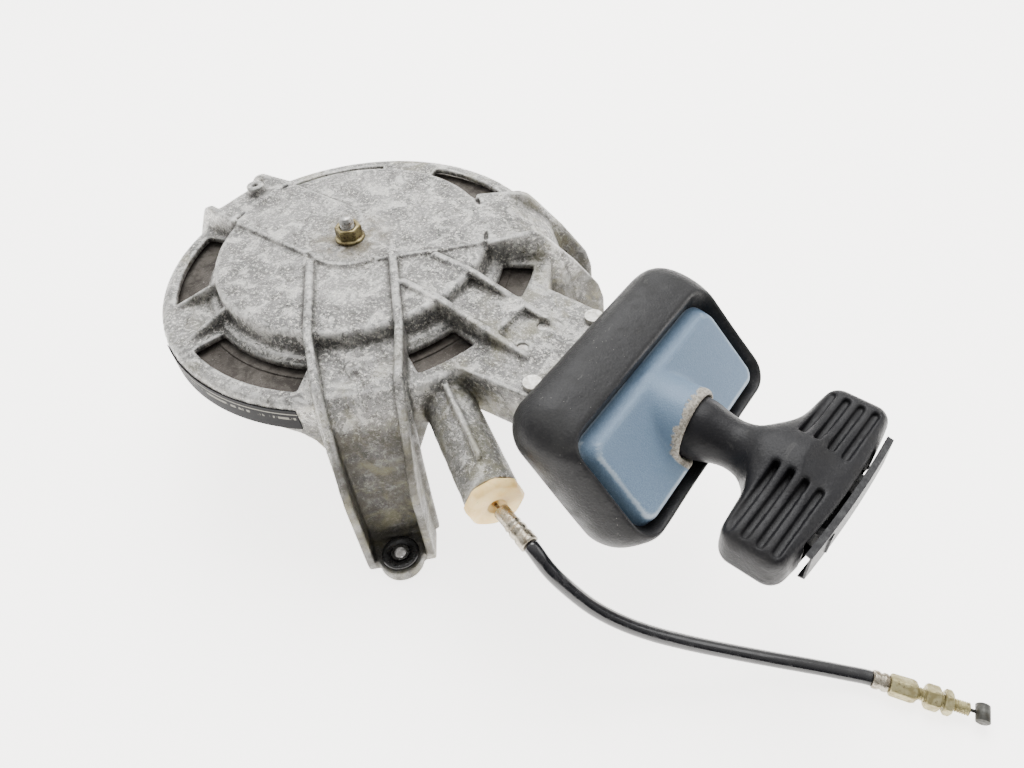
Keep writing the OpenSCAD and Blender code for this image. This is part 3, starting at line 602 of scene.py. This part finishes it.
seat_field = np.maximum(seat_field, -np.maximum(from_rope - 0.0156, 0.1985 - X))
seat_field = np.maximum(seat_field, 0.0048 - from_rope)
screw_x, screw_y = 0.1405, 0.027
tongue_top = 0.0977
tongue_half_thick = 0.0016
for side in (-1, 1):
    in_thickness = np.abs(Z - tongue_top + tongue_half_thick) - tongue_half_thick
    tongue = np.maximum(np.abs(Y - side * screw_y) - 0.0044, in_thickness)
    tongue = np.maximum(tongue, np.maximum(0.1355 - X, X - 0.196))
    tongue = np.maximum(tongue, 0.0027 - np.hypot(X - screw_x, Y - side * screw_y))
    seat_field = np.minimum(seat_field, tongue)
seat_field = blur(seat_field, 0.7)
seat = skin("painted_seat", seat_field, seat_low, seat_cell, 0.05, "case", "rope_seat")

paint = Finish(
    "metallic_blue", (0.07, 0.12, 0.18), 0.5, 0.15,
    Coat_Weight=0.05, Coat_Roughness=0.3, Specular_IOR_Level=0.35,
)
paint_bend = paint.own("bend")
flecks = paint.step(paint.cells(2600), 0.10, 0.42)
blue = paint.mix(flecks, (0.225, 0.315, 0.425), (0.110, 0.170, 0.250))
blue = paint.mix(paint.step(paint.noise(45, 3), 0.35, 0.7, 0, 0.35), blue, (0.125, 0.185, 0.265))
from_nose = paint.from_axis((0, 0, rope_height), 0)
uneven_bend = paint.maths("ADD", paint_bend, paint.both(paint.noise(160, 4), 120))
# Painted highlight: a lighter blue along the ridges, where the bend is high.
ridge_highlight = paint.step(uneven_bend, 200, 420, 0, 0.85)
ridge_highlight = paint.both(ridge_highlight, paint.step(from_nose, 0.0194, 0.0206))
blue = paint.mix(ridge_highlight, blue, (0.36, 0.43, 0.50))
wander = paint.both(paint.maths("SUBTRACT", paint.noise(330, 5, 0.7), 0.5), 0.0105)
ragged = paint.maths("ADD", paint.axis("X"), wander)
bare_ring = paint.step(ragged, mouth_x - 0.0046, mouth_x - 0.0034)
bare_ring = paint.both(bare_ring, paint.step(from_nose, 0.0194, 0.0184))
bare = paint.mix(paint.step(paint.noise(800, 5, 0.7), 0.38, 0.62), (0.42, 0.39, 0.33), (0.17, 0.155, 0.13))
blue = paint.mix(bare_ring, blue, bare)
paint.colour(blue)
paint.rough(paint.step(bare_ring, 0, 1, 0.50, 0.66))
crumbs = paint.both(paint.noise(500, 5, 0.7), bare_ring)
paint.relief(paint.maths("ADD", paint.noise(1300, 3, 0.5), crumbs), 0.00022)
paint.on(seat)

worn_screw = steel("worn_screw", (0.42, 0.41, 0.38), 0.42, (0.20, 0.19, 0.16), 0.7)
worn_screw.on(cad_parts["seat_screws"])

# ---------------------------------------------------------------------------
# Cowl seal: a moulded rubber boot round the seat. Its lip stands up in a ridge
# round the plate, and above the seat it flares up and back to meet the cowl.
# It is dusty and scuffed.
#            out      half across  lowest   highest  corner
seal_rows = [
    (-0.0260, 0.0550, -0.0245, 0.0265, 0.010),
    (-0.0120, 0.0520, -0.0210, 0.0230, 0.009),
    (-0.0080, 0.0545, -0.0235, 0.0255, 0.009),
    (-0.0040, 0.0566, -0.0257, 0.0277, 0.009),
    (-0.0004, 0.0580, -0.0266, 0.0300, 0.010),
    (0.0008, 0.0592, -0.0274, 0.0314, 0.011),
    (0.0006, 0.0604, -0.0284, 0.0330, 0.012),
    (-0.0008, 0.0616, -0.0292, 0.0350, 0.013),
    (-0.0030, 0.0632, -0.0302, 0.0392, 0.015),
    (-0.0068, 0.0650, -0.0312, 0.0450, 0.018),
    (-0.0110, 0.0660, -0.0318, 0.0494, 0.019),
    (-0.0150, 0.0664, -0.0320, 0.0516, 0.019),
    (-0.0200, 0.0660, -0.0318, 0.0518, 0.018),
    (-0.0270, 0.0640, -0.0308, 0.0502, 0.017),
    (-0.0292, 0.0628, -0.0300, 0.0488, 0.016),
    (-0.0299, 0.0612, -0.0290, 0.0468, 0.015),
]


def loop_round(rows, spokes):
    """Rounded rectangles stacked along the seat's own out axis: each row gives its place out, half
    width, lowest and highest edge and corner radius. Points are spread evenly round each loop."""
    points = []
    for place, half, lowest, highest, corner in rows:
        tall = (highest - lowest) / 2
        quarter = math.pi / 2 * corner
        straight = np.array([2 * (tall - corner), quarter, 2 * (half - corner), quarter] * 2)
        marks = np.linspace(0, straight.sum(), spokes, endpoint=False)
        starts = np.concatenate([[0], np.cumsum(straight)])
        leg = np.clip(np.searchsorted(starts, marks, side="right") - 1, 0, 7)
        share = (marks - starts[leg]) / straight[leg]
        hubs = np.array([(1, 1), (-1, 1), (-1, -1), (1, -1)])[(leg // 2) % 4]
        cx, cy = hubs[:, 0] * (half - corner), hubs[:, 1] * (tall - corner)
        turn = (leg // 2) * math.pi / 2 + np.where(leg % 2 == 1, share, 0) * math.pi / 2
        a = cx + corner * np.cos(turn)
        b = cy + corner * np.sin(turn)
        slide = np.where(leg % 2 == 0, (share - 1) * straight[leg], 0)
        a += -np.sin(turn) * slide
        b += np.cos(turn) * slide
        points.append(np.stack([a, b + (highest + lowest) / 2, np.full(spokes, place)], axis=1))
    return np.array(points)


def carried(points):
    """Points given across, up and out of the seat, put in the row frame."""
    return seat_middle + points @ np.array([(0, 1, 0), seat_up, seat_out])


seal_spokes = 240
loops = loop_round(seal_rows, seal_spokes)
rng = np.random.default_rng(7)
around = np.linspace(0, 2 * np.pi, seal_spokes, endpoint=False)
sag = sum(rng.normal(0, 0.00028) * np.cos(k * around + rng.uniform(0, 6.28)) for k in range(2, 8))
loops[4:, :, 2] += sag
loops[:, :, 0] += 0.0015
points = carried(loops)
count = len(seal_rows)
faces = [
    (i * seal_spokes + k, i * seal_spokes + (k + 1) % seal_spokes,
     (i + 1) % count * seal_spokes + (k + 1) % seal_spokes, (i + 1) % count * seal_spokes + k)
    for i in range(count) for k in range(seal_spokes)
]
seal = new_piece("seal_boot", points.reshape(-1, 3), faces, "case", "cowl_seal")
smooth = seal.modifiers.new("rounding", "SUBSURF")
smooth.levels = smooth.render_levels = 1

rubber = Finish("dusty_rubber", (0.015, 0.015, 0.016), 0.6, Specular_IOR_Level=0.22)
dust = rubber.step(rubber.noise(55, 5, 0.65, 0.5), 0.42, 0.70)
fine_dust = rubber.step(rubber.noise(520, 6, 0.75), 0.50, 0.74)
scuff = rubber.step(rubber.noise(240, 6, 0.7, 0.2, (1, 0.25, 1)), 0.62, 0.70)
specks = rubber.step(rubber.cells(420), 0.10, 0.05)
rubber_skin = rubber.mix(rubber.both(dust, 0.55), (0.010, 0.010, 0.011), (0.024, 0.024, 0.0235))
rubber_skin = rubber.mix(rubber.both(fine_dust, 0.35), rubber_skin, (0.04, 0.0395, 0.037))
rubber_skin = rubber.mix(rubber.both(scuff, 0.5), rubber_skin, (0.07, 0.069, 0.064))
speck_zone = rubber.step(rubber.noise(30, 2), 0.5, 0.6, 0, 0.6)
rubber_skin = rubber.mix(rubber.both(specks, speck_zone), rubber_skin, (0.22, 0.21, 0.19))
rubber.colour(rubber_skin)
rubber.rough(rubber.step(dust, 0, 1, 0.42, 0.62))
swells = rubber.both(rubber.noise(120, 4, 0.6), 2.0)
rubber.relief(rubber.maths("ADD", rubber.noise(900, 4, 0.6), swells), 0.00025)
rubber.on(seal)

# ---------------------------------------------------------------------------
# Handle: a moulded rubber T-grip over the rope's end, with four finger grooves
# on each side, a fine parting line, and an open pocket in its outer face
# where the cover has come loose.
grip_cell = 0.0006
(X, Y, Z), grip_low = space((0.195, -0.060, 0.068), (0.292, 0.058, 0.112), grip_cell)
grip_middle = np.array((0.2640, -0.002, 0.0893))
grip_turn = math.radians(-5.5)
along = (X - grip_middle[0]) * -math.sin(grip_turn) + (Y - grip_middle[1]) * math.cos(grip_turn)
deep = (X - grip_middle[0]) * math.cos(grip_turn) + (Y - grip_middle[1]) * math.sin(grip_turn)
thick = Z - grip_middle[2]
taper = np.clip(np.abs(along) / 0.050, 0, 1) ** 2
inner_edge = -0.0175 + 0.0035 * taper
outer_edge = 0.0178 - 0.0042 * taper
bar_middle, bar_half = (inner_edge + outer_edge) / 2, (outer_edge - inner_edge) / 2
bar_plan = box_plan(deep - bar_middle, along, bar_half, 0.0505, 0.0068)
top_of_grip = 0.0112
bar = common(bar_plan, np.abs(thick) - top_of_grip, 0.0072)
neck_places = (0.199, 0.211, 0.216, 0.222, 0.229, 0.237, 0.246, 0.256)
neck_radii = (0.0150, 0.0150, 0.0146, 0.0128, 0.0112, 0.0104, 0.0106, 0.011)
neck_radius = np.interp(X, neck_places, neck_radii)
neck_start, neck_end, seated_to = 0.1992, 0.256, 0.2145
from_rope = np.hypot(Y, Z - rope_height)
neck = common(from_rope - neck_radius, np.maximum(neck_start - X, X - neck_end), 0.0008)
grip_field = join(bar, neck, 0.021)
grip_field = np.maximum(grip_field, neck_start - X)
grip_field = np.where(X < seated_to, np.maximum(grip_field, from_rope - 0.0150), grip_field)
for near_end, far_end in ((-0.0455, -0.0100), (0.0125, 0.0420)):
    for i in range(4):
        line = -0.0110 + 0.0066 * i
        beside = deep - line
        past = np.maximum(np.maximum(near_end - along, along - far_end), 0)
        groove = np.sqrt(beside ** 2 + past ** 2) - 0.0015
        in_depth = np.maximum(top_of_grip - 0.0022 - thick, thick - top_of_grip - 0.004)
        groove = common(groove, in_depth, 0.0006)
        grip_field = common(grip_field, -groove, 0.0008)
parting = 0.00035 * np.exp(-((thick + 0.0040) / 0.0005) ** 2) * (deep > -0.013)
grip_field = grip_field + parting
pocket = np.maximum(np.maximum(np.abs(along + 0.004) - 0.030, np.abs(thick) - 0.0072), 0.0045 - deep)
grip_field = common(grip_field, -pocket, 0.0008)
grip_field = np.maximum(grip_field, -np.maximum(from_rope - 0.0034, X - 0.270))
grip_field = blur(grip_field, 0.75)
grip = skin("tee_grip", grip_field, grip_low, grip_cell, 0.04, "handle", "handle_grip")

grip_rubber = Finish("moulded_rubber", (0.012, 0.012, 0.013), 0.55, Specular_IOR_Level=0.18)
worn = grip_rubber.step(grip_rubber.noise(70, 5, 0.65, 0.4), 0.45, 0.68)
grip_skin = grip_rubber.mix(grip_rubber.both(worn, 0.6), (0.0085, 0.0085, 0.0100), (0.018, 0.0175, 0.0178))
grip_dust = grip_rubber.step(grip_rubber.noise(600, 5, 0.75), 0.56, 0.74, 0, 0.4)
grip_skin = grip_rubber.mix(grip_dust, grip_skin, (0.034, 0.033, 0.031))
chalk = grip_rubber.step(grip_rubber.noise(95, 6, 0.75, 0.6, (1, 0.4, 1)), 0.60, 0.72, 0, 0.5)
grip_skin = grip_rubber.mix(chalk, grip_skin, (0.042, 0.041, 0.040))
# Painted shade: darker down in the finger grooves, where the bend is negative.
groove_shade = grip_rubber.step(grip_rubber.own("bend"), -90, -420, 0, 0.7)
grip_skin = grip_rubber.mix(groove_shade, grip_skin, (0.009, 0.009, 0.010))
grip_rubber.colour(grip_skin)
grip_rubber.rough(grip_rubber.step(worn, 0, 1, 0.38, 0.56))
grip_swells = grip_rubber.both(grip_rubber.noise(200, 4), 1.5)
grip_rubber.relief(grip_rubber.maths("ADD", grip_rubber.noise(1100, 4, 0.6), grip_swells), 0.00018)
grip_rubber.on(grip)

# The cover is a thin grey plastic plate with turned-in edges. It has sprung
# out of the grip's outer face and hangs on two clips.
cover_half = 0.037
cover_rows = 60
run = np.linspace(-cover_half, cover_half, cover_rows)
bow = 0.0012 * (1 - (run / cover_half) ** 2)
section = np.array([
    (0.0000, -0.0078), (0.0000, 0.0078), (-0.0028, 0.0084), (-0.0030, 0.0076),
    (-0.0009, 0.0070), (-0.0009, -0.0070), (-0.0030, -0.0076), (-0.0028, -0.0084),
])
cover_turn = math.radians(-5.5)
cover_middle = np.array((0.2838, -0.004, 0.0885))
local_out = section[None, :, 0] + bow[:, None]
local_up = np.repeat(section[None, :, 1], cover_rows, axis=0)
local_run = np.repeat(run[:, None], len(section), axis=1)
cover_points = np.stack([
    cover_middle[0] + local_out * math.cos(cover_turn) - local_run * math.sin(cover_turn),
    cover_middle[1] + local_out * math.sin(cover_turn) + local_run * math.cos(cover_turn),
    cover_middle[2] + local_up,
], axis=2)
corners = len(section)
cover_faces = [
    (i * corners + k, (i + 1) * corners + k, (i + 1) * corners + m, i * corners + m)
    for i in range(cover_rows - 1) for k in range(corners) for m in [(k + 1) % corners]
]
last_row = (cover_rows - 1) * corners
cover_faces += [tuple(range(corners)), tuple(last_row + k for k in reversed(range(corners)))]
clip_parts = [(cover_points.reshape(-1, 3), cover_faces)]
for place in (-0.021, 0.013):
    low_x, high_x = 0.2735, 0.2832
    clip = np.array([(x, cover_middle[1] + place + y, cover_middle[2] + z)
                     for x in (low_x, high_x) for y in (-0.002, 0.002) for z in (-0.0045, 0.0045)])
    clip_faces = [(0, 1, 3, 2), (4, 6, 7, 5), (0, 4, 5, 1), (2, 3, 7, 6), (0, 2, 6, 4), (1, 5, 7, 3)]
    clip_parts.append((clip, clip_faces))
cover_points, cover_faces = together(clip_parts)
cover = new_piece("loose_cover", cover_points, cover_faces, "handle", "handle_cover")
cover.data.polygons.foreach_set("use_smooth", np.full(len(cover.data.polygons), False))
cover_grey = Finish("worn_cover", (0.02, 0.02, 0.022), 0.45, Specular_IOR_Level=0.3)
cover_wear = cover_grey.step(cover_grey.noise(300, 6, 0.75), 0.42, 0.66)
cover_grey.colour(cover_grey.mix(cover_wear, (0.014, 0.014, 0.016), (0.045, 0.046, 0.047)))
cover_grey.relief(cover_grey.noise(800, 5, 0.7), 0.0002)
cover_grey.on(cover)

# ---------------------------------------------------------------------------
# Start lock: an eight-sided nylon cap closes the plunger's tube. The cable's
# wire comes out of it off centre, into a crimped ferrule on a black sheath
# that runs down to the floor and ends in an adjuster, two nuts and a nipple.
tube_turn = math.radians(-32.3)
tube_way = np.array((math.cos(tube_turn), math.sin(tube_turn), 0.0))
tube_start = np.array((0.095, -0.041, 0.082))
cap_rows = [
    (0.0600, 0.0078), (0.0676, 0.0080), (0.0682, 0.0130, 8, 0.0124), (0.0692, 0.0142, 8, 0.0131),
    (0.0716, 0.0142, 8, 0.0131), (0.0730, 0.0131, 8, 0.0124), (0.0737, 0.0120, 8, 0.0118), (0.0737, 0.0047),
    (0.0732, 0.0043), (0.0722, 0.0041), (0.0718, 0.0020), (0.0600, 0.0020),
]
cap = turned(
    "lock_cap", tube_start, tube_way, cap_rows, "case", "cable_cap", closed=True, spokes=96, twist=0.1)
nylon = Finish("aged_nylon", (0.62, 0.43, 0.16), 0.42, Subsurface_Weight=0.15, Subsurface_Scale=0.003)
yellowing = nylon.step(nylon.noise(110, 5, 0.6, 0.4), 0.36, 0.66)
nylon_skin = nylon.mix(yellowing, (0.92, 0.68, 0.30), (0.80, 0.54, 0.18))
nylon_specks = nylon.step(nylon.noise(500, 6, 0.75), 0.60, 0.72, 0, 0.7)
nylon_skin = nylon.mix(nylon_specks, nylon_skin, (0.22, 0.13, 0.05))
nylon.colour(nylon_skin)
nylon.relief(nylon.noise(700, 4, 0.6), 0.0002)
nylon.on(cap)

# Route of the cable's centre line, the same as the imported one.
cable_route = np.array([
    (179.6, -87.1, 79.5), (189.6, -88.9, 72), (198.2, -88, 63.6), (209.5, -85.2, 53), (221.4, -80.4, 44),
    (233.5, -73.8, 35.8), (248.1, -64.5, 27), (263.5, -54.5, 19.3), (279.4, -44.8, 13.2),
    (295.4, -35.8, 9), (310, -28.5, 6.4), (320.5, -24, 5.3),
]) / 1000
sheath_radius = 0.0035
far_turn = math.radians(14)
far_way = np.array((math.cos(far_turn), math.sin(far_turn), 0.0))
cap_mouth = tube_start + 0.073 * tube_way
near_way = (cable_route[0] - cap_mouth) / np.linalg.norm(cable_route[0] - cap_mouth)


def smooth_route(points, first_way, last_way, steps):
    """Cubic curve through the points: each stretch is a Hermite curve, with slopes half the chord
    between the neighbours, and the end slopes given."""
    slopes = np.empty_like(points)
    slopes[1:-1] = (points[2:] - points[:-2]) / 2
    slopes[0] = first_way * np.linalg.norm(points[1] - points[0])
    slopes[-1] = last_way * np.linalg.norm(points[-1] - points[-2])
    t = np.linspace(0, 1, steps, endpoint=False)[:, None]
    pieces = [
        (2 * t ** 3 - 3 * t ** 2 + 1) * points[i] + (t ** 3 - 2 * t ** 2 + t) * slopes[i]
        + (3 * t ** 2 - 2 * t ** 3) * points[i + 1] + (t ** 3 - t ** 2) * slopes[i + 1]
        for i in range(len(points) - 1)
    ]
    return np.vstack(pieces + [points[-1:]])


line = smooth_route(cable_route, near_way, far_way, 10)
ways = np.gradient(line, axis=0)
ways[0], ways[-1] = near_way, far_way
ways /= np.linalg.norm(ways, axis=1)[:, None]
sides = np.cross(ways, (0, 0, 1))
sides /= np.linalg.norm(sides, axis=1)[:, None]
tops = np.cross(sides, ways)
spokes = 32
angle = np.linspace(0, 2 * np.pi, spokes, endpoint=False)[None, :, None]
tube_ring = np.cos(angle) * sides[:, None, :] + np.sin(angle) * tops[:, None, :]
tube_points = line[:, None, :] + sheath_radius * tube_ring
rows = len(line)
tube_faces = [
    (i * spokes + (k + 1) % spokes, i * spokes + k, (i + 1) * spokes + k, (i + 1) * spokes + (k + 1) % spokes)
    for i in range(rows - 1) for k in range(spokes)
]
tube_faces += [tuple(range(spokes)), tuple((rows - 1) * spokes + k for k in reversed(range(spokes)))]
sheath = new_piece("cable_sheath_black", tube_points.reshape(-1, 3), tube_faces, "case", "cable_sheath")
gloss = Finish("gloss_sheath", (0.008, 0.008, 0.010), 0.16, Coat_Weight=0.4, Coat_Roughness=0.08)
sheath_dust = gloss.step(gloss.noise(260, 6, 0.75), 0.58, 0.74, 0, 0.5)
gloss.colour(gloss.mix(sheath_dust, (0.007, 0.007, 0.009), (0.05, 0.05, 0.05)))
gloss.rough(gloss.step(gloss.noise(180, 5, 0.7), 0.35, 0.7, 0.12, 0.34))
gloss.relief(gloss.noise(140, 3, 0.5), 0.0002)
gloss.on(sheath)

reach = float(np.linalg.norm(cable_route[0] - cap_mouth))
ferrule_rows = [
    (-0.0012, 0.0008), (0.0030, 0.0008), (0.0030, 0.0031), (0.0031, 0.0036), (0.0036, 0.0038),
    (0.0110, 0.0038), (0.0116, 0.0041), (0.0124, 0.0042), (0.0130, 0.0038), (0.0142, 0.0038),
    (0.0148, 0.0043), (0.0160, 0.0044), (0.0170, 0.0042), (0.0176, 0.0039), (0.0184, 0.0040),
    (0.0190, 0.0044), (reach - 0.0012, 0.0045), (reach - 0.0003, 0.0044), (reach - 0.0001, 0.0036),
]
ferrule = turned("near_ferrule_crimped", cap_mouth, near_way, ferrule_rows, "case", "near_ferrule", spokes=48)
nickel = steel("dull_nickel", (0.38, 0.345, 0.28), 0.30, (0.12, 0.09, 0.055), 0.75)
nickel.on(ferrule)

far_start = cable_route[-1]
far_ferrule_rows = [
    (0.0001, 0.0036), (0.0002, 0.0041), (0.0010, 0.0043), (0.0026, 0.0042), (0.0032, 0.0037),
    (0.0040, 0.0037), (0.0046, 0.0042), (0.0060, 0.0042), (0.0066, 0.0038), (0.0074, 0.0038),
]
far_ferrule = turned(
    "far_ferrule_crimped", far_start, far_way, far_ferrule_rows, "case", "far_ferrule", spokes=48)
nickel.on(far_ferrule)

hexagon, across_body, across_nut = 6, 0.0046, 0.0050
body_rows = [
    (0.0075, 0.0046, hexagon, across_body), (0.0080, 0.0051, hexagon, across_body),
    (0.0168, 0.0053, hexagon, across_body), (0.0180, 0.0048, hexagon, across_body),
    (0.0190, 0.0034), (0.0192, 0.0030), (0.0398, 0.0030), (0.0400, 0.0025),
]
adjuster = turned(
    "cable_adjuster", far_start, far_way, body_rows, "case", "adjuster_body",
    spokes=60, twist=math.pi / 6, thread=(0.0192, 0.0398, 0.0010, 0.0005),
)
olive = Finish("olive_zinc", (0.25, 0.22, 0.10), 0.42, 0.75)
dulled = olive.step(olive.noise(280, 5, 0.65, 0.3), 0.38, 0.62)
olive_skin = olive.mix(dulled, (0.42, 0.38, 0.21), (0.27, 0.23, 0.11))
rust = olive.step(olive.noise(420, 6, 0.7), 0.56, 0.68, 0, 0.85)
olive_skin = olive.mix(rust, olive_skin, (0.07, 0.045, 0.02))
olive.colour(olive_skin)
olive.rough(olive.step(olive.noise(600, 4), 0.3, 0.7, 0.32, 0.6))
olive.relief(olive.noise(1400, 4, 0.6), 0.00012)
olive.on(adjuster)

nut_parts = []
for first, last in ((0.0220, 0.0280), (0.0295, 0.0330)):
    ring = [
        (first, 0.00302), (first, 0.0048, hexagon, across_nut), (first + 0.0005, 0.0055, hexagon, across_nut),
        (first + 0.0009, 0.0058, hexagon, across_nut), (last - 0.0009, 0.0058, hexagon, across_nut),
        (last - 0.0005, 0.0055, hexagon, across_nut), (last, 0.0048, hexagon, across_nut), (last, 0.00302),
    ]
    nut_parts.append(
        turned(None, far_start, far_way, ring, "case", closed=True, spokes=60, twist=math.pi / 6))
nuts = new_piece("adjuster_lock_nuts", *together(nut_parts), "case", "adjuster_nuts")
olive.on(nuts)

nipple_middle = far_start + 0.0455 * far_way
nipple_way = np.array((-math.sin(far_turn), math.cos(far_turn), 0.0))
barrel = turned(None, nipple_middle - 0.004 * nipple_way, nipple_way, [
    (0.0, 0.0026), (0.0003, 0.0030), (0.0077, 0.0030), (0.0080, 0.0026)], "wire_end", spokes=40)
wire = turned(None, far_start, far_way, [(0.0300, 0.0008), (0.0440, 0.0008)], "wire_end", spokes=12)
nipple = new_piece("wire_nipple_barrel", *together([barrel, wire]), "wire_end", "wire_nipple")
lead_grey = steel("lead_grey", (0.085, 0.085, 0.078), 0.55, (0.05, 0.045, 0.035))
lead_grey.on(nipple)
